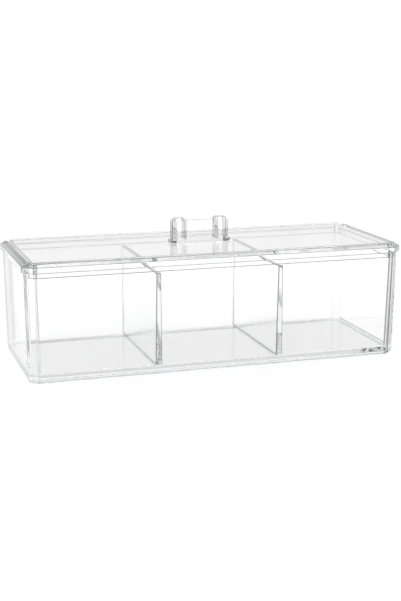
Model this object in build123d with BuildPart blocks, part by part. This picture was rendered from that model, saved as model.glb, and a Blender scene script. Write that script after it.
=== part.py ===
"""Clear three-compartment holder with a lift-off lid. Millimetres, +Z up, origin at the centre of the underside."""
import os
from math import sqrt

from build123d import *

os.makedirs("parts", exist_ok=True)

# Overall size, measured over the tray's rim
tray_length = 240.0
tray_depth = 92.0
tray_height = 67.0
corner_cut = 5.2

# Tray walls and floor
draft_inset = 1.0
wall_at_rim = 2.4
wall_at_floor = 2.8
floor_thickness = 2.7
foot_rim_height = 2.0
foot_rim_width = 3.4
base_bevel = 1.1
rim_round = 0.5
edge_round = 0.5
floor_fillet = 1.2
inner_corner_round = 1.6

# Dividers, which stand where they share the length equally
compartment_count = 3
divider_top_thickness = 2.9
divider_base_thickness = 4.2
divider_top_round = 0.5
lip_to_divider_gap = 0.6

# Lid
lid_overhang = 1.5
lid_band_height = 3.8
lid_bevel_run = 3.8
lid_bevel_rise = 2.3
lid_plate = 2.8
lid_edge_round = 0.4
lip_drop = 3.6
lip_thickness = 2.0
lip_clearance = 0.5
lip_corner_round = 3.0
recess_fillet = 1.0

# Handle
handle_length = 37.4
post_width = 10.0
post_depth = 10.0
post_height = 13.7
post_corner_cut = 2.4
post_top_bevel = 1.6
web_depth = 6.4
web_drop = 1.8
web_top_bevel = 0.6
foot_plate_height = 1.7
foot_plate_margin = 1.0
foot_plate_round = 0.5

# A 45 degree corner cut shortens by this share of the distance that its outline is moved inwards
CUT_SHARE = 2 - sqrt(2)
# A corner's rounds take at most this many times its cut, which leaves some of the cut's flat between them
ROUND_LIMIT = 1.6
# Half the height of the slice in which faces and edges at one level are looked for
TOUCH = 0.01

floor_top = foot_rim_height + floor_thickness
lid_base = tray_height
lid_band_top = lid_base + lid_band_height
lid_top = lid_band_top + lid_bevel_rise
lip_bottom = lid_base - lip_drop
divider_top = lip_bottom - lip_to_divider_gap
handle_base = lid_top + foot_plate_height
compartment_pitch = (tray_length - 2 * wall_at_rim) / compartment_count


def cut_corner_outline(inset, height, round_radius=0.0):
    """The tray's outline at its rim, moved inwards by inset, on a level plane at height."""
    cut = corner_cut - CUT_SHARE * inset
    with BuildSketch(Plane.XY.offset(height)) as outline:
        Rectangle(tray_length - 2 * inset, tray_depth - 2 * inset)
        chamfer(outline.vertices(), cut)
        if round_radius:
            fillet(outline.vertices(), min(round_radius, ROUND_LIMIT * cut))
    return outline.sketch


def outer_inset(height):
    """How far the drafted outside of the tray stands in from its rim at a height."""
    return draft_inset * (1 - height / tray_height)


# Space inside the tray, which cuts the tray and trims the dividers to its walls and floor
with BuildPart() as cavity:
    loft(
        [
            cut_corner_outline(outer_inset(floor_top) + wall_at_floor, floor_top, inner_corner_round),
            cut_corner_outline(wall_at_rim, tray_height, inner_corner_round),
        ],
        ruled=True,
    )
    fillet(cavity.faces().sort_by(Axis.Z)[0].edges(), floor_fillet)

# Tray: drafted walls and floor on a narrow foot rim with a bevelled base edge
with BuildPart() as tray:
    bevel_top = cut_corner_outline(outer_inset(base_bevel), base_bevel, edge_round)
    loft([cut_corner_outline(draft_inset + base_bevel, 0, edge_round), bevel_top], ruled=True)
    loft([bevel_top, cut_corner_outline(0, tray_height, edge_round)], ruled=True)
    add(cavity.part, mode=Mode.SUBTRACT)
    extrude(
        cut_corner_outline(draft_inset + foot_rim_width, 0, inner_corner_round),
        amount=foot_rim_height,
        mode=Mode.SUBTRACT,
    )
    fillet(tray.faces().sort_by(Axis.Z)[-1].edges(), rim_round)


def make_divider(centre_x):
    """A drafted upright panel, trimmed by the cavity so that it meets the walls and the floor."""
    with BuildPart() as panel:
        for height, thickness in (
            (floor_top, divider_base_thickness),
            (divider_top, divider_top_thickness),
        ):
            with BuildSketch(Plane.XY.offset(height)):
                with Locations((centre_x, 0)):
                    Rectangle(thickness, tray_depth)
        loft(ruled=True)
        fillet(panel.faces().sort_by(Axis.Z)[-1].edges().filter_by(Axis.Y), divider_top_round)
        add(cavity.part, mode=Mode.INTERSECT)
    return panel.part


left_divider = make_divider(-compartment_pitch / 2)
right_divider = make_divider(compartment_pitch / 2)

# Lid: bevelled plate over the rim, hollowed below, with a lip that drops inside the tray
lip_outer_inset = wall_at_rim + lip_clearance
lip_inner_inset = lip_outer_inset + lip_thickness
with BuildPart() as recess:
    extrude(
        cut_corner_outline(lip_inner_inset, lip_bottom, lip_corner_round),
        amount=lid_top - lid_plate - lip_bottom,
    )
    fillet(recess.faces().sort_by(Axis.Z)[-1].edges(), recess_fillet)
with BuildPart() as lid:
    band_outline = cut_corner_outline(-lid_overhang, lid_base, edge_round)
    extrude(band_outline, amount=lid_band_height)
    loft(
        [
            cut_corner_outline(-lid_overhang, lid_band_top, edge_round),
            cut_corner_outline(lid_bevel_run - lid_overhang, lid_top, edge_round),
        ],
        ruled=True,
    )
    fillet(lid.faces().sort_by(Axis.Z)[-1].edges(), lid_edge_round)
    fillet(lid.faces().sort_by(Axis.Z)[0].edges(), lid_edge_round)
    extrude(cut_corner_outline(lip_outer_inset, lip_bottom, inner_corner_round), amount=lip_drop)
    add(recess.part, mode=Mode.SUBTRACT)

# Handle: two faceted posts and a thinner web on a foot plate that is cemented to the lid
post_centre = (handle_length - post_width) / 2
web_top = handle_base + post_height - web_drop
with BuildPart() as handle:
    with BuildSketch(Plane.XY.offset(handle_base)) as post_outline:
        with Locations((-post_centre, 0), (post_centre, 0)):
            Rectangle(post_width, post_depth)
        chamfer(post_outline.vertices(), post_corner_cut)
    extrude(amount=post_height)
    post_tops = handle.faces().filter_by(Plane.XY).group_by(Axis.Z)[-1]
    chamfer(post_tops.edges(), post_top_bevel)
    with BuildSketch(Plane.XY.offset(handle_base)):
        Rectangle(2 * post_centre, web_depth)
    extrude(amount=post_height - web_drop)
    web_edges = handle.edges().filter_by(Axis.X).filter_by_position(Axis.Z, web_top - TOUCH, web_top + TOUCH)
    chamfer(web_edges, web_top_bevel)
    with BuildSketch(Plane.XY.offset(lid_top)) as plate_outline:
        Rectangle(handle_length + 2 * foot_plate_margin, post_depth + 2 * foot_plate_margin)
        chamfer(plate_outline.vertices(), post_corner_cut + CUT_SHARE * foot_plate_margin)
    extrude(amount=foot_plate_height)
    plate_top = handle.faces().filter_by(Plane.XY).filter_by_position(
        Axis.Z, handle_base - TOUCH, handle_base + TOUCH
    )
    fillet(plate_top.sort_by(SortBy.AREA)[-1].outer_wire().edges(), foot_plate_round)

for name, solid in (
    ("tray", tray.part),
    ("left_divider", left_divider),
    ("right_divider", right_divider),
    ("lid", lid.part),
    ("handle", handle.part),
):
    solid.label = name
    export_step(solid, f"parts/{name}.step")
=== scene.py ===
import math

import bmesh
import bpy
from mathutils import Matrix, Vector


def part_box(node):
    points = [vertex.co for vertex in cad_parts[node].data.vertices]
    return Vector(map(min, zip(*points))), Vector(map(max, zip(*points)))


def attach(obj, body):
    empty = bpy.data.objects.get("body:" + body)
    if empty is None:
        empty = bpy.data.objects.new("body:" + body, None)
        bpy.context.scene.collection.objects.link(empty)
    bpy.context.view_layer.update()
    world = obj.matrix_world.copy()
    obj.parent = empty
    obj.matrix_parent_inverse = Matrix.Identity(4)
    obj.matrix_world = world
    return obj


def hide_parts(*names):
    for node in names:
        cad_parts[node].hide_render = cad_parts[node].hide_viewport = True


bl_info = {
    "name": "Clear Compartment Holder",
    "version": (1, 0, 0),
    "blender": (4, 5, 0),
    "location": "View3D > Sidebar > Holder",
    "description": "Models a clear three-compartment holder with a lift-off lid",
    "category": "Add Mesh",
}

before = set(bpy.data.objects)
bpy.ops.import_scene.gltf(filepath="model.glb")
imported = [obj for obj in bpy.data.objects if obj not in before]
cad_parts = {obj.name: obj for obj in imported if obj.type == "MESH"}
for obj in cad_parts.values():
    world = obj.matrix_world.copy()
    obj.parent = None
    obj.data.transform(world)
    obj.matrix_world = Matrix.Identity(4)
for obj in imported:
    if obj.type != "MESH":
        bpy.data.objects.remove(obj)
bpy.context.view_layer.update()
MM = 0.001
TRAY_LOW, TRAY_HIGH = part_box("tray")
LID_LOW, LID_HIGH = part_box("lid")
HANDLE_LOW, HANDLE_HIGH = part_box("handle")
# A cut corner of a rectangle shortens by this share of the distance that its outline is moved inwards
CUT_SHARE = 2 - math.sqrt(2)
# Heights within the first of these count as level, and corners within the second are merged
LEVEL_SLACK = 0.01 * MM
MERGE_DISTANCE = 0.001 * MM
# An edge counts as running along an axis only where it reaches further than this
LEAST_RUN = 1 * MM
# How far the posts and the web reach down into the foot plate before they are joined to it
ROOT_DEPTH = 1 * MM
# Edges sharper than this get the mould's round
SHARP_ANGLE = math.radians(25)
# Faces across each kind of round
ROUND_FACES = 3
FLOOR_FILLET_FACES = 5
RECESS_FILLET_FACES = 4
# Weight that keeps large faces flat beside their rounds
FLAT_WEIGHT = 100
# Name of the mesh attribute that holds each face's share of painted shade, from 0 to 1
PAINTED_SHADE_MARK = "edge_round"
# Limits for parts of a face's normal, by which walls, bevels and rounds are told apart
DIAGONAL_SLACK = 0.05
UPRIGHT_LEAN = 0.1
WALL_FACING = 0.99
END_FACING = 0.4
BEVEL_RISE = (0.6, 0.95)
TOP_ROUND_RISE = (0.87, 0.99)
FOOT_ROUND_RISE = (-0.95, -0.2)
# The outside of an end wall lies within this of the tray's ends, and its inside doesn't
END_WALL_REACH = 2 * MM
X_AXIS = Vector((1, 0, 0))
Y_AXIS = Vector((0, 1, 0))
WHITE = (1, 1, 1, 1)
BLACK = (0, 0, 0, 1)


class HolderTraySizes(bpy.types.PropertyGroup):
    corner_cut: bpy.props.FloatProperty(
        name="Corner cut",
        description="Leg of the 45 degree cut at each corner",
        default=5.2 * MM,
        unit="LENGTH",
    )
    draft_inset: bpy.props.FloatProperty(
        name="Draft inset",
        description="How far the walls lean in at the base",
        default=1.0 * MM,
        unit="LENGTH",
    )
    wall_at_rim: bpy.props.FloatProperty(
        name="Wall at rim",
        description="Wall thickness at the rim",
        default=2.4 * MM,
        unit="LENGTH",
    )
    wall_at_floor: bpy.props.FloatProperty(
        name="Wall at floor",
        description="Wall thickness at the floor",
        default=2.8 * MM,
        unit="LENGTH",
    )
    floor_thickness: bpy.props.FloatProperty(
        name="Floor thickness",
        description="Thickness of the floor",
        default=2.7 * MM,
        unit="LENGTH",
    )
    foot_rim_height: bpy.props.FloatProperty(
        name="Foot rim height",
        description="Height of the rim that the tray stands on",
        default=2.0 * MM,
        unit="LENGTH",
    )
    foot_rim_width: bpy.props.FloatProperty(
        name="Foot rim width",
        description="Width of the rim that the tray stands on",
        default=3.4 * MM,
        unit="LENGTH",
    )
    base_bevel: bpy.props.FloatProperty(
        name="Base bevel",
        description="Bevel round the foot of the walls",
        default=1.1 * MM,
        unit="LENGTH",
    )
    floor_fillet: bpy.props.FloatProperty(
        name="Floor fillet",
        description="Round where the walls meet the floor",
        default=1.2 * MM,
        unit="LENGTH",
    )
    edge_round: bpy.props.FloatProperty(
        name="Edge round",
        description="Small round left on every edge by the mould",
        default=0.4 * MM,
        unit="LENGTH",
    )
    # Painted shade: the shares below mix a dark colour into the base colour of the rounds, the cut corners
    # and the strips beside them, darker away from the lamps
    edge_shade_share: bpy.props.FloatProperty(
        name="Edge share",
        description="Share of the painted edge shade on the rounded edges",
        default=0.5,
        subtype="FACTOR",
        min=0,
        max=1,
    )
    cut_face_shade_share: bpy.props.FloatProperty(
        name="Cut face share",
        description="Share of the painted edge shade on the cut corners by the lamps",
        default=0.0,
        subtype="FACTOR",
        min=0,
        max=1,
    )
    upright_shade_share: bpy.props.FloatProperty(
        name="Upright share",
        description="Share of the painted edge shade on the upright edges by the lamps",
        default=0.1,
        subtype="FACTOR",
        min=0,
        max=1,
    )
    dark_cut_shade_share: bpy.props.FloatProperty(
        name="Dark cut share",
        description="Share of the painted edge shade on the cut corners away from the lamps",
        default=0.25,
        subtype="FACTOR",
        min=0,
        max=1,
    )
    painted_shade_strip_width: bpy.props.FloatProperty(
        name="Dark strip width",
        description="Width of the strip on the end walls beside a corner away from the lamps",
        default=3 * MM,
        unit="LENGTH",
    )
    painted_shade_strip_share: bpy.props.FloatProperty(
        name="Dark strip share",
        description="Share of the painted edge shade on that strip",
        default=0.9,
        subtype="FACTOR",
        min=0,
        max=1,
    )
    dark_upright_shade_share: bpy.props.FloatProperty(
        name="Dark upright share",
        description="Share of the painted edge shade on the upright edges away from the lamps",
        default=0.95,
        subtype="FACTOR",
        min=0,
        max=1,
    )


class HolderDividerSizes(bpy.types.PropertyGroup):
    bond_gap: bpy.props.FloatProperty(
        name="Bond gap",
        description="Film between a divider and the tray",
        default=0.06 * MM,
        unit="LENGTH",
    )
    top_thickness: bpy.props.FloatProperty(
        name="Top thickness",
        description="Thickness at the top edge",
        default=2.9 * MM,
        unit="LENGTH",
    )
    base_thickness: bpy.props.FloatProperty(
        name="Base thickness",
        description="Thickness at the floor",
        default=4.2 * MM,
        unit="LENGTH",
    )
    edge_round: bpy.props.FloatProperty(
        name="Edge round",
        description="Round left on every edge by the mould",
        default=0.5 * MM,
        unit="LENGTH",
    )
    # Painted shade on the divider's rounds
    edge_shade_share: bpy.props.FloatProperty(
        name="Edge share",
        description="Share of the painted edge shade on the rounded edges",
        default=1.0,
        subtype="FACTOR",
        min=0,
        max=1,
    )


class HolderLidSizes(bpy.types.PropertyGroup):
    band_height: bpy.props.FloatProperty(
        name="Band height",
        description="Height of the upright band round the edge",
        default=3.8 * MM,
        unit="LENGTH",
    )
    bevel_run: bpy.props.FloatProperty(
        name="Bevel run",
        description="Width of the sloping bevel",
        default=3.8 * MM,
        unit="LENGTH",
    )
    plate: bpy.props.FloatProperty(
        name="Plate",
        description="Thickness of the flat top",
        default=2.8 * MM,
        unit="LENGTH",
    )
    lip_drop: bpy.props.FloatProperty(
        name="Lip drop",
        description="How far the lip reaches down inside the tray",
        default=3.6 * MM,
        unit="LENGTH",
    )
    lip_thickness: bpy.props.FloatProperty(
        name="Lip thickness",
        description="Thickness of the lip",
        default=2.0 * MM,
        unit="LENGTH",
    )
    lip_clearance: bpy.props.FloatProperty(
        name="Lip clearance",
        description="Gap between the lip and the walls",
        default=0.5 * MM,
        unit="LENGTH",
    )
    recess_fillet: bpy.props.FloatProperty(
        name="Recess fillet",
        description="Round between the lip and the plate",
        default=1.0 * MM,
        unit="LENGTH",
    )
    seat_gap: bpy.props.FloatProperty(
        name="Seat gap",
        description="Film of air between the lid and the rim",
        default=0.06 * MM,
        unit="LENGTH",
    )
    # Painted shade: the shares below mix a dark colour into the base colour of the rounds, the bevel and
    # its ends
    edge_shade_share: bpy.props.FloatProperty(
        name="Edge share",
        description="Share of the painted edge shade on the rounded edges",
        default=0.75,
        subtype="FACTOR",
        min=0,
        max=1,
    )
    side_edge_shade_share: bpy.props.FloatProperty(
        name="Side edge share",
        description="Share of the painted edge shade along the top and the foot of the sides",
        default=0.88,
        subtype="FACTOR",
        min=0,
        max=1,
    )
    bevel_shade_share: bpy.props.FloatProperty(
        name="Bevel share",
        description="Share of the painted edge shade on the sloping bevel",
        default=0.2,
        subtype="FACTOR",
        min=0,
        max=1,
    )
    end_low_shade_share: bpy.props.FloatProperty(
        name="End low share",
        description="Share of the painted edge shade on the lower half of the two end bevels",
        default=0.0,
        subtype="FACTOR",
        min=0,
        max=1,
    )
    end_high_shade_share: bpy.props.FloatProperty(
        name="End high share",
        description="Share of the painted edge shade on the upper half of the two end bevels",
        default=0.7,
        subtype="FACTOR",
        min=0,
        max=1,
    )


class HolderHandleSizes(bpy.types.PropertyGroup):
    post_width: bpy.props.FloatProperty(
        name="Post width",
        description="Width of each post along the lid",
        default=10.0 * MM,
        unit="LENGTH",
    )
    post_cut: bpy.props.FloatProperty(
        name="Post corner cut",
        description="Leg of the cut corners of each post",
        default=2.4 * MM,
        unit="LENGTH",
    )
    post_edge_round: bpy.props.FloatProperty(
        name="Post edge round",
        description="Round along the upright edges of each post",
        default=0.42 * MM,
        unit="LENGTH",
    )
    post_top_bevel: bpy.props.FloatProperty(
        name="Post top bevel",
        description="Bevel round the top of each post",
        default=1.6 * MM,
        unit="LENGTH",
    )
    web_depth: bpy.props.FloatProperty(
        name="Web depth",
        description="Front to back size of the web",
        default=6.4 * MM,
        unit="LENGTH",
    )
    web_drop: bpy.props.FloatProperty(
        name="Web drop",
        description="How far the web stays below the posts",
        default=1.8 * MM,
        unit="LENGTH",
    )
    web_bevel: bpy.props.FloatProperty(
        name="Web bevel",
        description="Bevel along the top of the web",
        default=0.6 * MM,
        unit="LENGTH",
    )
    foot_height: bpy.props.FloatProperty(
        name="Foot height",
        description="Thickness of the foot plate",
        default=1.7 * MM,
        unit="LENGTH",
    )
    foot_margin: bpy.props.FloatProperty(
        name="Foot margin",
        description="How far the foot plate stands out",
        default=1.0 * MM,
        unit="LENGTH",
    )
    bond_gap: bpy.props.FloatProperty(
        name="Bond gap",
        description="Film between the handle and the lid",
        default=0.06 * MM,
        unit="LENGTH",
    )
    edge_round: bpy.props.FloatProperty(
        name="Edge round",
        description="Small round left on every edge by the mould",
        default=0.4 * MM,
        unit="LENGTH",
    )
    # Painted shade: the shares below mix a dark colour into the base colour of the rounds, the cut faces
    # and the foot plate's corners
    edge_shade_share: bpy.props.FloatProperty(
        name="Edge share",
        description="Share of the painted edge shade on the rounded edges",
        default=1.0,
        subtype="FACTOR",
        min=0,
        max=1,
    )
    front_edge_shade_share: bpy.props.FloatProperty(
        name="Front edge share",
        description="Share of the painted edge shade on the posts' front and back upright edges",
        default=0.5,
        subtype="FACTOR",
        min=0,
        max=1,
    )
    cut_face_shade_share: bpy.props.FloatProperty(
        name="Cut face share",
        description="Share of the painted edge shade on the cut faces of the posts",
        default=0.5,
        subtype="FACTOR",
        min=0,
        max=1,
    )
    foot_corner_shade_share: bpy.props.FloatProperty(
        name="Foot corner share",
        description="Share of the painted edge shade on the cut corners of the foot plate",
        default=1.0,
        subtype="FACTOR",
        min=0,
        max=1,
    )


class HolderPlasticLook(bpy.types.PropertyGroup):
    tint: bpy.props.FloatVectorProperty(
        name="Tint",
        description="Colour of light that has crossed the plastic",
        subtype="COLOR",
        size=3,
        default=(0.62, 0.66, 0.64),
        min=0,
        max=1,
    )
    tint_density: bpy.props.FloatProperty(
        name="Tint density",
        description="How fast the plastic takes up light, per metre",
        default=2.0,
    )
    # Painted shade: this dark colour is mixed into the base colour of the rounds and other marked faces,
    # where clear edges look dark
    painted_edge_shade: bpy.props.FloatVectorProperty(
        name="Painted edge shade",
        description="Colour that a rounded edge lets through",
        subtype="COLOR",
        size=3,
        default=(0.06, 0.064, 0.07),
        min=0,
        max=1,
    )
    shadow_tone: bpy.props.FloatVectorProperty(
        name="Shadow tone",
        description="Light that a surface lets through to what it shades",
        subtype="COLOR",
        size=3,
        default=(0.945, 0.945, 0.95),
        min=0,
        max=1,
    )
    refraction: bpy.props.FloatProperty(
        name="Refraction",
        description="Index of refraction of clear polystyrene",
        default=1.57,
    )


def deselect_all():
    bpy.ops.object.select_all(action="DESELECT")


def add_block(name, low, high):
    """A block between two corners, active and with its place in its mesh."""
    deselect_all()
    low, high = Vector(low), Vector(high)
    bpy.ops.mesh.primitive_cube_add(size=1, location=(low + high) / 2)
    block = bpy.context.active_object
    block.name = name
    block.data.name = name
    block.scale = high - low
    bpy.ops.object.transform_apply(location=True, rotation=True, scale=True)
    return block


def pick(block, kind, wanted):
    """In edit mode, selects the faces or edges that wanted holds for, and nothing else."""
    bpy.ops.mesh.select_mode(type="FACE" if kind == "faces" else "EDGE")
    bpy.ops.mesh.select_all(action="DESELECT")
    mesh = bmesh.from_edit_mesh(block.data)
    for element in getattr(mesh, kind):
        if wanted(element):
            element.select_set(True)
    bmesh.update_edit_mesh(block.data)


def heights(element):
    """Lowest and highest z of a face or an edge."""
    levels = [corner.co.z for corner in element.verts]
    return min(levels), max(levels)


def is_level(element, height):
    """True for a face or an edge that lies level at a height."""
    low, high = heights(element)
    return abs(low - height) < LEVEL_SLACK and abs(high - height) < LEVEL_SLACK


def is_upright(edge, least):
    """True for an edge that climbs by more than least."""
    low, high = heights(edge)
    return high - low > least


def reach(edge, axis):
    """How far an edge reaches along an axis, 0 for x and 1 for y."""
    first, last = edge.verts
    return abs(first.co[axis] - last.co[axis])


def pick_level_face(block, height):
    pick(block, "faces", lambda face: is_level(face, height))


def bevel_picked(width, segments):
    bpy.ops.mesh.bevel(offset=width, offset_type="OFFSET", segments=segments, affect="EDGES")


def resize_picked(x, y, middle=0):
    """Resizes what is picked in the plan, about a point on the x axis."""
    bpy.ops.transform.resize(value=(x, y, 1), center_override=(middle, 0, 0))


def sink_picked(distance):
    """Extrudes the picked face along z by a distance, down where it is negative."""
    bpy.ops.mesh.extrude_region_move(TRANSFORM_OT_translate={"value": (0, 0, distance)})


def split_faces(block, wanted, axis, distance):
    """Splits the wanted faces where they are this far along an axis, on both sides of the middle."""
    for side in (-1, 1):
        pick(block, "faces", wanted)
        bpy.ops.mesh.bisect(plane_co=side * distance * axis, plane_no=axis)


def activate(piece):
    """Selects a piece alone and makes it the active one."""
    deselect_all()
    piece.select_set(True)
    bpy.context.view_layer.objects.active = piece


def round_edges(piece, width, painted_shade_share):
    """Rounds every sharp edge as a mould does, and gives the rounds a share of painted shade."""
    activate(piece)
    # Of two empty material slots the second tells the rounds from the faces that were there before
    for _ in range(2):
        piece.data.materials.append(None)
    bevel = piece.modifiers.new("edge_rounds", "BEVEL")
    bevel.width = width
    bevel.segments = ROUND_FACES
    bevel.limit_method = "ANGLE"
    bevel.angle_limit = SHARP_ANGLE
    bevel.material = 1
    bpy.ops.object.modifier_apply(modifier=bevel.name)
    # Painted shade: each round gets its share of the dark edge colour
    mark = piece.data.attributes.new(PAINTED_SHADE_MARK, "FLOAT", "CORNER")
    for face in piece.data.polygons:
        for corner in face.loop_indices:
            mark.data[corner].value = painted_shade_share * face.material_index
        face.material_index = 0
    bpy.ops.object.shade_smooth()
    flats = piece.modifiers.new("flat_faces", "WEIGHTED_NORMAL")
    flats.mode = "FACE_AREA"
    flats.weight = FLAT_WEIGHT
    bpy.ops.object.modifier_apply(modifier=flats.name)


def paint_face_shade(piece, wanted, painted_shade_share):
    """Gives the faces that wanted holds for their own share of painted shade."""
    mark = piece.data.attributes[PAINTED_SHADE_MARK]
    for face in piece.data.polygons:
        if wanted(face):
            for corner in face.loop_indices:
                mark.data[corner].value = painted_shade_share


def centre_of(face):
    """Centre of a face in edit mode or of a face of a finished mesh."""
    return face.calc_center_median() if hasattr(face, "calc_center_median") else face.center


def is_within(value, limits):
    return limits[0] < value < limits[1]


def is_diagonal(face):
    """True for a face that looks along the diagonal of the plan."""
    return abs(abs(face.normal.x) - abs(face.normal.y)) < DIAGONAL_SLACK


def is_end_wall(face):
    """True for the outside of the left or the right end of the tray."""
    return abs(face.normal.x) > WALL_FACING and abs(centre_of(face).x) > TRAY_HIGH.x - END_WALL_REACH


def is_lit(face):
    """True for a face on the front left or the back right quarter, which the two lamps shine on."""
    return face.center.x * face.center.y > 0


def is_cut_face(face):
    """True for the upright 45 degree face of a cut corner."""
    return is_diagonal(face) and abs(face.normal.z) < UPRIGHT_LEAN


def is_upright_round(face):
    """True for the rounded upright edge beside a cut corner."""
    turned = min(abs(face.normal.x), abs(face.normal.y)) > DIAGONAL_SLACK
    return turned and abs(face.normal.z) < UPRIGHT_LEAN and not is_diagonal(face)


def is_front_round(face):
    """True for an upright round that looks more to the front or the back than to the ends."""
    return is_upright_round(face) and abs(face.normal.y) > abs(face.normal.x)


def is_side_round(face):
    """True for the rounded edge along the top of a side bevel or under the side of a band or a lip."""
    rise = face.normal.z
    return (is_within(rise, TOP_ROUND_RISE) or is_within(rise, FOOT_ROUND_RISE)) and not is_diagonal(face)


def is_side_bevel(face):
    """True for a face that slopes up to the top from one of the four sides."""
    return is_within(face.normal.z, BEVEL_RISE) and not is_diagonal(face)


def is_end_bevel(face):
    """True for the bevel that slopes up from the left or the right end."""
    return is_side_bevel(face) and abs(face.normal.x) > END_FACING


def face_outwards(piece):
    """Merges doubles and turns every face outwards."""
    activate(piece)
    bpy.ops.object.mode_set(mode="EDIT")
    bpy.ops.mesh.select_all(action="SELECT")
    bpy.ops.mesh.remove_doubles(threshold=MERGE_DISTANCE)
    bpy.ops.mesh.normals_make_consistent(inside=False)
    bpy.ops.object.mode_set(mode="OBJECT")


def hand_over(piece, material, body, node):
    """Gives a finished piece its material and ties it to the frame."""
    piece.data.materials.clear()
    piece.data.materials.append(material)
    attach(piece, body)
    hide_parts(node)


def math_node(nodes, operation):
    made = nodes.new("ShaderNodeMath")
    made.operation = operation
    return made


def vector_node(nodes, operation):
    made = nodes.new("ShaderNodeVectorMath")
    made.operation = operation
    return made


def colour_mix(nodes):
    made = nodes.new("ShaderNodeMix")
    made.data_type = "RGBA"
    return made


def largest(nodes, links, outputs):
    """The largest of several values, by a chain of Math nodes."""
    result = outputs[0]
    for output in outputs[1:]:
        either = math_node(nodes, "MAXIMUM")
        links.new(result, either.inputs[0])
        links.new(output, either.inputs[1])
        result = either.outputs["Value"]
    return result


def clear_plastic(name, clarity, wave_height, scratch_share):
    """Clear polished plastic that the lamps shine straight through. clarity is its least roughness."""
    look = bpy.context.scene.holder_plastic
    material = bpy.data.materials.new(name)
    material.use_nodes = True
    nodes, links = material.node_tree.nodes, material.node_tree.links
    nodes.clear()
    surface = nodes.new("ShaderNodeGroup")
    surface.node_tree = moulded_surface()
    surface.inputs["Clarity"].default_value = clarity
    surface.inputs["Scratch Share"].default_value = scratch_share
    plastic = nodes.new("ShaderNodeBsdfPrincipled")
    plastic.inputs["Transmission Weight"].default_value = 1
    plastic.inputs["IOR"].default_value = look.refraction
    bump = nodes.new("ShaderNodeBump")
    bump.inputs["Strength"].default_value = 1
    bump.inputs["Distance"].default_value = wave_height
    absorb = nodes.new("ShaderNodeVolumeAbsorption")
    absorb.inputs["Color"].default_value = (*look.tint, 1)
    absorb.inputs["Density"].default_value = look.tint_density
    rays = nodes.new("ShaderNodeLightPath")
    see_through = nodes.new("ShaderNodeBsdfTransparent")
    see_through.inputs["Color"].default_value = (*look.shadow_tone, 1)
    mix = nodes.new("ShaderNodeMixShader")
    output = nodes.new("ShaderNodeOutputMaterial")
    # Painted shade: marked faces get a darker base colour by their share of the painted edge shade
    edge = nodes.new("ShaderNodeAttribute")
    edge.attribute_name = PAINTED_SHADE_MARK
    tone = colour_mix(nodes)
    tone.inputs["A"].default_value = WHITE
    tone.inputs["B"].default_value = (*look.painted_edge_shade, 1)
    links.new(edge.outputs["Fac"], tone.inputs["Factor"])
    links.new(tone.outputs["Result"], plastic.inputs["Base Color"])
    links.new(surface.outputs["Roughness"], plastic.inputs["Roughness"])
    links.new(surface.outputs["Height"], bump.inputs["Height"])
    links.new(bump.outputs["Normal"], plastic.inputs["Normal"])
    soft_light = [rays.outputs[kind] for kind in ("Is Shadow Ray", "Is Diffuse Ray")]
    links.new(largest(nodes, links, soft_light), mix.inputs["Fac"])
    links.new(plastic.outputs["BSDF"], mix.inputs[1])
    links.new(see_through.outputs["BSDF"], mix.inputs[2])
    links.new(mix.outputs["Shader"], output.inputs["Surface"])
    links.new(absorb.outputs["Volume"], output.inputs["Volume"])
    return material


# Waves and smears of the moulded skin, in features per metre
WAVE_SCALE = 28
SMEAR_SCALE = 45
# Smears show where their noise is between these, and roughen the skin by up to this much
SMEAR_RANGE = (0.52, 0.75)
SMEAR_ROUGHNESS = 0.05
# Hairline scratches: turn in radians, features per metre across and along them, noise range and roughness
HAIR_TURN = (0.5, 0.9, 0.6)
HAIR_SCALE = (3000, 60, 60)
HAIR_RANGE = (0.70, 0.78)
HAIR_ROUGHNESS = 0.15


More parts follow.
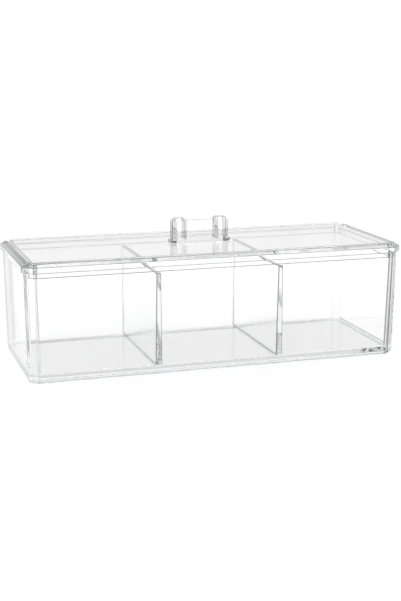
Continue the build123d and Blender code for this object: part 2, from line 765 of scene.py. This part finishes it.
def moulded_surface():
    """Shader group for the skin of a clear moulding: slow waves, faint smears and hairline scratches."""
    name = "Moulded Surface"
    if name in bpy.data.node_groups:
        return bpy.data.node_groups[name]
    group = bpy.data.node_groups.new(name, "ShaderNodeTree")
    sockets = group.interface
    for way, labels in (("INPUT", ("Clarity", "Scratch Share")), ("OUTPUT", ("Roughness", "Height"))):
        for label in labels:
            sockets.new_socket(name=label, in_out=way, socket_type="NodeSocketFloat")
    nodes, links = group.nodes, group.links
    given = nodes.new("NodeGroupInput")
    result = nodes.new("NodeGroupOutput")
    place = nodes.new("ShaderNodeTexCoord")

    waves = nodes.new("ShaderNodeTexNoise")
    waves.inputs["Scale"].default_value = WAVE_SCALE
    waves.inputs["Detail"].default_value = 1
    smears = nodes.new("ShaderNodeTexNoise")
    smears.inputs["Scale"].default_value = SMEAR_SCALE
    smears.inputs["Detail"].default_value = 4
    smear_mask = nodes.new("ShaderNodeMapRange")
    smear_mask.inputs["From Min"].default_value, smear_mask.inputs["From Max"].default_value = SMEAR_RANGE
    smear_mask.inputs["To Max"].default_value = SMEAR_ROUGHNESS
    stretch = nodes.new("ShaderNodeMapping")
    stretch.inputs["Rotation"].default_value = HAIR_TURN
    stretch.inputs["Scale"].default_value = HAIR_SCALE
    hairs = nodes.new("ShaderNodeTexNoise")
    hairs.inputs["Scale"].default_value = 1
    hairs.inputs["Detail"].default_value = 2
    hair_mask = nodes.new("ShaderNodeMapRange")
    hair_mask.inputs["From Min"].default_value, hair_mask.inputs["From Max"].default_value = HAIR_RANGE
    scratched = math_node(nodes, "MULTIPLY")
    rough = math_node(nodes, "ADD")
    rougher = math_node(nodes, "MULTIPLY_ADD")
    rougher.inputs[1].default_value = HAIR_ROUGHNESS

    for texture in (waves, smears, stretch):
        links.new(place.outputs["Object"], texture.inputs["Vector"])
    links.new(stretch.outputs["Vector"], hairs.inputs["Vector"])
    links.new(smears.outputs["Fac"], smear_mask.inputs["Value"])
    links.new(hairs.outputs["Fac"], hair_mask.inputs["Value"])
    links.new(hair_mask.outputs["Result"], scratched.inputs[0])
    links.new(given.outputs["Scratch Share"], scratched.inputs[1])
    links.new(smear_mask.outputs["Result"], rough.inputs[0])
    links.new(given.outputs["Clarity"], rough.inputs[1])
    links.new(scratched.outputs["Value"], rougher.inputs[0])
    links.new(rough.outputs["Value"], rougher.inputs[2])
    links.new(rougher.outputs["Value"], result.inputs["Roughness"])
    links.new(waves.outputs["Fac"], result.inputs["Height"])
    return group


def tray_outline(inset):
    """Half length and half depth of the tray's rim outline, moved inwards by inset."""
    return TRAY_HIGH.x - inset, TRAY_HIGH.y - inset


class HOLDER_OT_make_tray(bpy.types.Operator):
    """Model the tray: a drafted shell with cut corners on a foot rim"""

    bl_idname = "holder.make_tray"
    bl_label = "Make Tray"

    def execute(self, context):
        sizes = context.scene.holder_tray
        rim, base = TRAY_HIGH.z, TRAY_LOW.z
        floor_top = base + sizes.foot_rim_height + sizes.floor_thickness
        half_x, half_y = tray_outline(0)
        tray = add_block("tray_shell", TRAY_LOW, TRAY_HIGH)
        bpy.ops.object.mode_set(mode="EDIT")
        # Cut corners, walls that lean in towards the base, and the bevel round their foot
        pick(tray, "edges", lambda edge: is_upright(edge, rim / 2))
        bevel_picked(sizes.corner_cut, 1)
        pick_level_face(tray, base)
        resize_picked((half_x - sizes.draft_inset) / half_x, (half_y - sizes.draft_inset) / half_y)
        bevel_picked(sizes.base_bevel, 1)
        # Foot rim
        pick_level_face(tray, base)
        bpy.ops.mesh.inset(thickness=sizes.foot_rim_width - sizes.base_bevel)
        sink_picked(sizes.foot_rim_height)
        # Space inside, which narrows towards the floor
        pick_level_face(tray, rim)
        bpy.ops.mesh.inset(thickness=sizes.wall_at_rim)
        sink_picked(floor_top - rim)
        top_x, top_y = tray_outline(sizes.wall_at_rim)
        lean = sizes.draft_inset * (1 - floor_top / rim)
        floor_x, floor_y = tray_outline(sizes.wall_at_floor + lean)
        resize_picked(floor_x / top_x, floor_y / top_y)
        # Fillet round the floor and up the inner corners
        inner = tray_outline(sizes.wall_at_rim / 2)

        def is_inside(edge):
            low, high = heights(edge)
            spots = [corner.co for corner in edge.verts]
            within = all(abs(spot.x) < inner[0] and abs(spot.y) < inner[1] for spot in spots)
            at_floor = abs(low - floor_top) < LEVEL_SLACK
            return within and at_floor and (high - low > rim / 2 or is_level(edge, floor_top))

        pick(tray, "edges", is_inside)
        bevel_picked(sizes.floor_fillet, FLOOR_FILLET_FACES)
        # Strips along the sides of both end walls, of which the two away from the lamps get painted shade
        strip_start = half_y - sizes.corner_cut - sizes.painted_shade_strip_width
        split_faces(tray, is_end_wall, Y_AXIS, strip_start)
        bpy.ops.object.mode_set(mode="OBJECT")
        face_outwards(tray)
        round_edges(tray, sizes.edge_round, sizes.edge_shade_share)
        # Painted shade on the cut corners and upright rounds, lighter where the lamps shine and darker
        # away from them
        for wanted, lit_shade_share, unlit_shade_share in (
            (is_cut_face, sizes.cut_face_shade_share, sizes.dark_cut_shade_share),
            (is_upright_round, sizes.upright_shade_share, sizes.dark_upright_shade_share),
        ):
            paint_face_shade(tray, wanted, unlit_shade_share)
            paint_face_shade(tray, lambda face: wanted(face) and is_lit(face), lit_shade_share)

        def is_painted_shade_strip(face):
            return is_end_wall(face) and abs(face.center.y) > strip_start and not is_lit(face)

        paint_face_shade(tray, is_painted_shade_strip, sizes.painted_shade_strip_share)
        plastic = clear_plastic("Clear tray", clarity=0.006, wave_height=0.006 * MM, scratch_share=0.35)
        hand_over(tray, plastic, body="tray", node="tray")
        return {"FINISHED"}


class HOLDER_OT_make_dividers(bpy.types.Operator):
    """Model the two upright dividers, drafted from the floor to their top edges"""

    bl_idname = "holder.make_dividers"
    bl_label = "Make Dividers"

    def execute(self, context):
        tray = context.scene.holder_tray
        sizes = context.scene.holder_dividers
        plastic = clear_plastic("Clear divider", clarity=0.006, wave_height=0.006 * MM, scratch_share=0.25)
        for node in ("left_divider", "right_divider"):
            low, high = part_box(node)
            middle = (low.x + high.x) / 2
            bottom = low.z + sizes.bond_gap
            lean = tray.draft_inset * (1 - high.z / TRAY_HIGH.z)
            half_top = TRAY_HIGH.y - tray.wall_at_rim - lean - sizes.bond_gap
            half_floor = TRAY_HIGH.y - tray.wall_at_floor - sizes.bond_gap - tray.draft_inset
            half_thick = sizes.top_thickness / 2
            panel = add_block(
                node + "_panel",
                (middle - half_thick, -half_top, bottom),
                (middle + half_thick, half_top, high.z),
            )
            bpy.ops.object.mode_set(mode="EDIT")
            pick_level_face(panel, bottom)
            resize_picked(sizes.base_thickness / sizes.top_thickness, half_floor / half_top, middle)
            pick(panel, "edges", lambda edge: is_level(edge, bottom) and reach(edge, 1) < LEAST_RUN)
            bevel_picked(tray.floor_fillet, FLOOR_FILLET_FACES)
            bpy.ops.object.mode_set(mode="OBJECT")
            face_outwards(panel)
            # The rounds get painted shade
            round_edges(panel, sizes.edge_round, sizes.edge_shade_share)
            hand_over(panel, plastic, body="tray", node=node)
        return {"FINISHED"}


class HOLDER_OT_make_lid(bpy.types.Operator):
    """Model the lid: a bevelled plate with a lip below"""

    bl_idname = "holder.make_lid"
    bl_label = "Make Lid"

    def execute(self, context):
        tray = context.scene.holder_tray
        sizes = context.scene.holder_lid
        overhang = LID_HIGH.x - TRAY_HIGH.x
        seat = LID_LOW.z + sizes.lip_drop + sizes.seat_gap
        band_top = LID_LOW.z + sizes.lip_drop + sizes.band_height
        lid = add_block("lid_cover", (LID_LOW.x, LID_LOW.y, seat), (LID_HIGH.x, LID_HIGH.y, band_top))
        bpy.ops.object.mode_set(mode="EDIT")
        pick(lid, "edges", lambda edge: is_upright(edge, sizes.band_height / 2))
        bevel_picked(tray.corner_cut + CUT_SHARE * overhang, 1)
        # Bevel, which is split along its middle at the two ends, so that the upper half there gets its own
        # painted shade
        pick_level_face(lid, band_top)
        bpy.ops.mesh.inset(thickness=sizes.bevel_run, depth=LID_HIGH.z - band_top)
        bevel_middle = LID_HIGH.x - sizes.bevel_run / 2
        split_faces(lid, is_end_bevel, X_AXIS, bevel_middle)
        # Lip, and the hollow between its walls
        pick_level_face(lid, seat)
        bpy.ops.mesh.inset(thickness=overhang + tray.wall_at_rim + sizes.lip_clearance)
        sink_picked(LID_LOW.z - seat)
        bpy.ops.mesh.inset(thickness=sizes.lip_thickness)
        ceiling = LID_HIGH.z - sizes.plate
        sink_picked(ceiling - LID_LOW.z)
        pick(lid, "edges", lambda edge: is_level(edge, ceiling))
        bevel_picked(sizes.recess_fillet, RECESS_FILLET_FACES)
        bpy.ops.object.mode_set(mode="OBJECT")
        face_outwards(lid)
        round_edges(lid, tray.edge_round, sizes.edge_shade_share)
        # Painted shade on the bevel, on the upper half of its two ends and along the rounds of the sides
        paint_face_shade(lid, is_side_bevel, sizes.bevel_shade_share)
        paint_face_shade(lid, is_end_bevel, sizes.end_low_shade_share)

        def is_high_bevel(face):
            return is_end_bevel(face) and abs(face.center.x) < bevel_middle

        paint_face_shade(lid, is_high_bevel, sizes.end_high_shade_share)
        paint_face_shade(lid, is_side_round, sizes.side_edge_shade_share)
        plastic = clear_plastic("Clear lid", clarity=0.008, wave_height=0.008 * MM, scratch_share=0.45)
        hand_over(lid, plastic, body="lid", node="lid")
        return {"FINISHED"}


class HOLDER_OT_make_handle(bpy.types.Operator):
    """Model the handle: two faceted posts joined by a thinner web on a foot plate"""

    bl_idname = "holder.make_handle"
    bl_label = "Make Handle"

    def execute(self, context):
        sizes = context.scene.holder_handle
        foot_top = HANDLE_LOW.z + sizes.foot_height
        half_length = HANDLE_HIGH.x - sizes.foot_margin
        half_depth = HANDLE_HIGH.y - sizes.foot_margin
        middle = half_length - sizes.post_width / 2
        bottom = HANDLE_LOW.z + sizes.bond_gap
        # Foot plate
        handle = add_block(
            "handle_grip",
            (HANDLE_LOW.x, HANDLE_LOW.y, bottom),
            (HANDLE_HIGH.x, HANDLE_HIGH.y, foot_top),
        )
        bpy.ops.object.mode_set(mode="EDIT")
        pick(handle, "edges", lambda edge: is_upright(edge, sizes.foot_height / 2))
        bevel_picked(sizes.post_cut + CUT_SHARE * sizes.foot_margin, 1)
        bpy.ops.object.mode_set(mode="OBJECT")
        # Posts with cut corners and a bevelled top
        parts = []
        for side in (-1, 1):
            post = add_block(
                "post",
                (side * middle - sizes.post_width / 2, -half_depth, foot_top - ROOT_DEPTH),
                (side * middle + sizes.post_width / 2, half_depth, HANDLE_HIGH.z),
            )
            bpy.ops.object.mode_set(mode="EDIT")
            pick(post, "edges", lambda edge: is_upright(edge, LEAST_RUN))
            bevel_picked(sizes.post_cut, 1)
            pick_level_face(post, HANDLE_HIGH.z)
            bevel_picked(sizes.post_top_bevel, 1)
            pick(post, "edges", lambda edge: is_upright(edge, LEAST_RUN))
            bevel_picked(sizes.post_edge_round, ROUND_FACES)
            bpy.ops.object.mode_set(mode="OBJECT")
            parts.append(post)
        # Web between the posts
        web_top = HANDLE_HIGH.z - sizes.web_drop
        web = add_block(
            "web",
            (-middle, -sizes.web_depth / 2, foot_top - ROOT_DEPTH),
            (middle, sizes.web_depth / 2, web_top),
        )
        bpy.ops.object.mode_set(mode="EDIT")
        pick(web, "edges", lambda edge: is_level(edge, web_top) and reach(edge, 0) > LEAST_RUN)
        bevel_picked(sizes.web_bevel, 1)
        bpy.ops.object.mode_set(mode="OBJECT")
        parts.append(web)
        # Posts and web joined to the foot plate as one closed piece
        for part in parts:
            activate(handle)
            union = handle.modifiers.new("union", "BOOLEAN")
            union.operation = "UNION"
            union.solver = "EXACT"
            union.object = part
            bpy.ops.object.modifier_apply(modifier=union.name)
            bpy.data.objects.remove(part)
        face_outwards(handle)
        round_edges(handle, sizes.edge_round, sizes.edge_shade_share)
        # Painted shade on the cut faces, the upright rounds and the foot plate's cut corners
        paint_face_shade(handle, is_cut_face, sizes.cut_face_shade_share)
        paint_face_shade(handle, is_upright_round, sizes.edge_shade_share)
        paint_face_shade(handle, is_front_round, sizes.front_edge_shade_share)

        def is_foot_corner(face):
            return is_cut_face(face) and face.center.z < foot_top

        paint_face_shade(handle, is_foot_corner, sizes.foot_corner_shade_share)
        plastic = clear_plastic("Clear handle", clarity=0.01, wave_height=0.01 * MM, scratch_share=0.3)
        hand_over(handle, plastic, body="lid", node="handle")
        return {"FINISHED"}


def seen_by_the_eye(nodes, links):
    """1 for camera, glossy and transmission rays, which make up the picture, and 0 for the rest."""
    rays = nodes.new("ShaderNodeLightPath")
    kinds = ("Is Camera Ray", "Is Glossy Ray", "Is Transmission Ray")
    return largest(nodes, links, [rays.outputs[kind] for kind in kinds])


# Side of the floor in metres, and its paint near the object
FLOOR_SIDE = 8
FLOOR_PAINT = (0.8, 0.8, 0.8, 1)
# Distances between which the lit floor fades into the white one, and the glow of the two
FLOOR_FADE = (0.3, 1.0)
FLOOR_GLOW = (0.35, 1.04)


def floor_material():
    """White floor that keeps a soft shadow, and looks white to the camera and through clear plastic."""
    material = bpy.data.materials.new("White floor")
    material.use_nodes = True
    nodes, links = material.node_tree.nodes, material.node_tree.links
    nodes.clear()
    place = nodes.new("ShaderNodeTexCoord")
    distance = vector_node(nodes, "LENGTH")
    far = nodes.new("ShaderNodeMapRange")
    far.interpolation_type = "SMOOTHSTEP"
    far.inputs["From Min"].default_value, far.inputs["From Max"].default_value = FLOOR_FADE
    paint = colour_mix(nodes)
    paint.inputs["A"].default_value = FLOOR_PAINT
    paint.inputs["B"].default_value = BLACK
    shine = nodes.new("ShaderNodeMapRange")
    shine.inputs["To Min"].default_value, shine.inputs["To Max"].default_value = FLOOR_GLOW
    matte = nodes.new("ShaderNodeBsdfDiffuse")
    glow = nodes.new("ShaderNodeEmission")
    strength = math_node(nodes, "MULTIPLY")
    links.new(place.outputs["Object"], distance.inputs[0])
    links.new(distance.outputs["Value"], far.inputs["Value"])
    links.new(far.outputs["Result"], paint.inputs["Factor"])
    links.new(paint.outputs["Result"], matte.inputs["Color"])
    links.new(far.outputs["Result"], shine.inputs["Value"])
    links.new(shine.outputs["Result"], strength.inputs[1])
    both = nodes.new("ShaderNodeAddShader")
    output = nodes.new("ShaderNodeOutputMaterial")
    links.new(seen_by_the_eye(nodes, links), strength.inputs[0])
    links.new(strength.outputs["Value"], glow.inputs["Strength"])
    links.new(matte.outputs["BSDF"], both.inputs[0])
    links.new(glow.outputs["Emission"], both.inputs[1])
    links.new(both.outputs["Shader"], output.inputs["Surface"])
    return material


# Black flags that clear edges pick up: azimuth clockwise from +Y and half width, in degrees
BLACK_FLAGS = ((-42, 12), (180, 12), (-105, 12), (100, 8))
FLAG_SOFTNESS = 5
FLAG_TONE = (0.02, 0.02, 0.02, 1)
# Strength of the flags up from the horizon, as the sine of the elevation and the share there
FLAG_BAND = ((0.0, 0), (0.03, 1), (0.2, 1), (0.3, 0))
# Tones of the studio above the horizon, as the sine of the elevation and the grey there
STUDIO_TONES = ((0.04, 1.0), (0.12, 0.8), (0.35, 0.72), (0.5, 0.2), (0.75, 0.04))
# Even light that the studio sheds on the floor
FILL_TONE = (0.55, 0.55, 0.55, 1)


def flag_mask(nodes, links, direction):
    """1 where a black flag stands and 0 elsewhere."""
    flags = []
    for azimuth, half_width in BLACK_FLAGS:
        turn = math.radians(azimuth)
        towards = vector_node(nodes, "DOT_PRODUCT")
        towards.inputs[1].default_value = (math.sin(turn), math.cos(turn), 0)
        flag = nodes.new("ShaderNodeMapRange")
        flag.interpolation_type = "SMOOTHSTEP"
        flag.inputs["From Min"].default_value = math.cos(math.radians(half_width + FLAG_SOFTNESS))
        flag.inputs["From Max"].default_value = math.cos(math.radians(half_width))
        links.new(direction, towards.inputs[0])
        links.new(towards.outputs["Value"], flag.inputs["Value"])
        flags.append(flag.outputs["Result"])
    return largest(nodes, links, flags)


def grey_ramp(nodes, stops):
    """A ramp through greys. Each stop has its place and its tone."""
    made = nodes.new("ShaderNodeValToRGB")
    elements = made.color_ramp.elements
    first, *between, last = stops
    for stop, (place, tone) in zip(elements, (first, last)):
        stop.position = place
        stop.color = (tone, tone, tone, 1)
    for place, tone in between:
        elements.new(place).color = (tone, tone, tone, 1)
    return made


def studio_world(world):
    """White to the camera. Clear plastic sees a pale backdrop, black flags and a dark ceiling."""
    world.use_nodes = True
    nodes, links = world.node_tree.nodes, world.node_tree.links
    nodes.clear()
    place = nodes.new("ShaderNodeTexCoord")
    level = vector_node(nodes, "MULTIPLY")
    level.inputs[1].default_value = (1, 1, 0)
    compass = vector_node(nodes, "NORMALIZE")
    rise = nodes.new("ShaderNodeSeparateXYZ")
    tones = grey_ramp(nodes, STUDIO_TONES)
    band = grey_ramp(nodes, FLAG_BAND)
    flagged = math_node(nodes, "MULTIPLY")
    darkened = colour_mix(nodes)
    darkened.inputs["B"].default_value = FLAG_TONE
    rays = nodes.new("ShaderNodeLightPath")
    plain = colour_mix(nodes)
    plain.inputs["B"].default_value = FILL_TONE
    white = colour_mix(nodes)
    white.inputs["B"].default_value = WHITE
    sky = nodes.new("ShaderNodeBackground")
    output = nodes.new("ShaderNodeOutputWorld")
    links.new(place.outputs["Generated"], level.inputs[0])
    links.new(level.outputs["Vector"], compass.inputs[0])
    links.new(place.outputs["Generated"], rise.inputs["Vector"])
    links.new(rise.outputs["Z"], tones.inputs["Fac"])
    links.new(rise.outputs["Z"], band.inputs["Fac"])
    links.new(flag_mask(nodes, links, compass.outputs["Vector"]), flagged.inputs[0])
    links.new(band.outputs["Color"], flagged.inputs[1])
    links.new(flagged.outputs["Value"], darkened.inputs["Factor"])
    links.new(tones.outputs["Color"], darkened.inputs["A"])
    links.new(darkened.outputs["Result"], plain.inputs["A"])
    links.new(rays.outputs["Is Diffuse Ray"], plain.inputs["Factor"])
    links.new(plain.outputs["Result"], white.inputs["A"])
    links.new(rays.outputs["Is Camera Ray"], white.inputs["Factor"])
    links.new(white.outputs["Result"], sky.inputs["Color"])
    links.new(sky.outputs["Background"], output.inputs["Surface"])


# Soft lamps: name, place and side in metres, and power in watts
SOFT_LAMPS = (
    ("key_softbox", (-0.9, -0.9, 1.3), 0.8, 9.0),
    ("back_softbox", (0.5, 1.0, 1.1), 0.7, 6.0),
)
# Camera fitted to the photo's outline, in metres and radians, with lens and sensor in millimetres
CAMERA_PLACE = (-0.2310, -0.7321, 0.2063)
CAMERA_TURN = (math.radians(77.33), 0, -0.3069)
CAMERA_LENS = 72.65
CAMERA_SENSOR = 36
CAMERA_CLIP = 0.01
# A ray through the box crosses dozens of surfaces, so it may pass this many
CLEAR_BOUNCES = 128
GLOSSY_BOUNCES = 64
SHADOW_BOUNCES = 32


class HOLDER_OT_make_stage(bpy.types.Operator):
    """Set up the white floor, the soft light and the camera"""

    bl_idname = "holder.make_stage"
    bl_label = "Make Stage"

    def execute(self, context):
        scene = context.scene
        deselect_all()
        bpy.ops.mesh.primitive_plane_add(size=FLOOR_SIDE, location=(0, 0, 0))
        floor = context.active_object
        floor.name = "floor"
        floor.data.materials.append(floor_material())
        scene.world = scene.world or bpy.data.worlds.new("Studio")
        studio_world(scene.world)
        for name, place, side, power in SOFT_LAMPS:
            bpy.ops.object.light_add(type="AREA", location=place)
            lamp = context.active_object
            lamp.name = name
            lamp.data.energy = power
            lamp.data.size = side
            lamp.rotation_euler = (-Vector(place)).to_track_quat("-Z", "Y").to_euler()
        bpy.ops.object.camera_add(location=CAMERA_PLACE, rotation=CAMERA_TURN)
        camera = context.active_object
        camera.name = "front_left_camera"
        camera.data.lens = CAMERA_LENS
        camera.data.sensor_width = CAMERA_SENSOR
        camera.data.clip_start = CAMERA_CLIP
        scene.camera = camera
        scene.view_settings.view_transform = "Standard"
        scene.cycles.max_bounces = CLEAR_BOUNCES
        scene.cycles.transmission_bounces = CLEAR_BOUNCES
        scene.cycles.glossy_bounces = GLOSSY_BOUNCES
        scene.cycles.transparent_max_bounces = SHADOW_BOUNCES
        scene.cycles.caustics_reflective = False
        scene.cycles.caustics_refractive = False
        return {"FINISHED"}


class HOLDER_PT_panel(bpy.types.Panel):
    """Buttons for the holder's pieces in the 3D view's sidebar"""

    bl_idname = "HOLDER_PT_panel"
    bl_label = "Holder"
    bl_space_type = "VIEW_3D"
    bl_region_type = "UI"
    bl_category = "Holder"

    def draw(self, context):
        for operator in OPERATORS:
            self.layout.operator(operator.bl_idname)


OPERATORS = [
    HOLDER_OT_make_tray,
    HOLDER_OT_make_dividers,
    HOLDER_OT_make_lid,
    HOLDER_OT_make_handle,
    HOLDER_OT_make_stage,
]
SETTINGS = {
    "holder_tray": HolderTraySizes,
    "holder_dividers": HolderDividerSizes,
    "holder_lid": HolderLidSizes,
    "holder_handle": HolderHandleSizes,
    "holder_plastic": HolderPlasticLook,
}
CLASSES = (*SETTINGS.values(), *OPERATORS, HOLDER_PT_panel)


def register():
    for cls in CLASSES:
        bpy.utils.register_class(cls)
    for name, group in SETTINGS.items():
        setattr(bpy.types.Scene, name, bpy.props.PointerProperty(type=group))


def unregister():
    for name in SETTINGS:
        delattr(bpy.types.Scene, name)
    for cls in reversed(CLASSES):
        bpy.utils.unregister_class(cls)


def main():
    register()
    bpy.ops.holder.make_tray()
    bpy.ops.holder.make_dividers()
    bpy.ops.holder.make_lid()
    bpy.ops.holder.make_handle()
    bpy.ops.holder.make_stage()


if __name__ == "__main__":
    main()
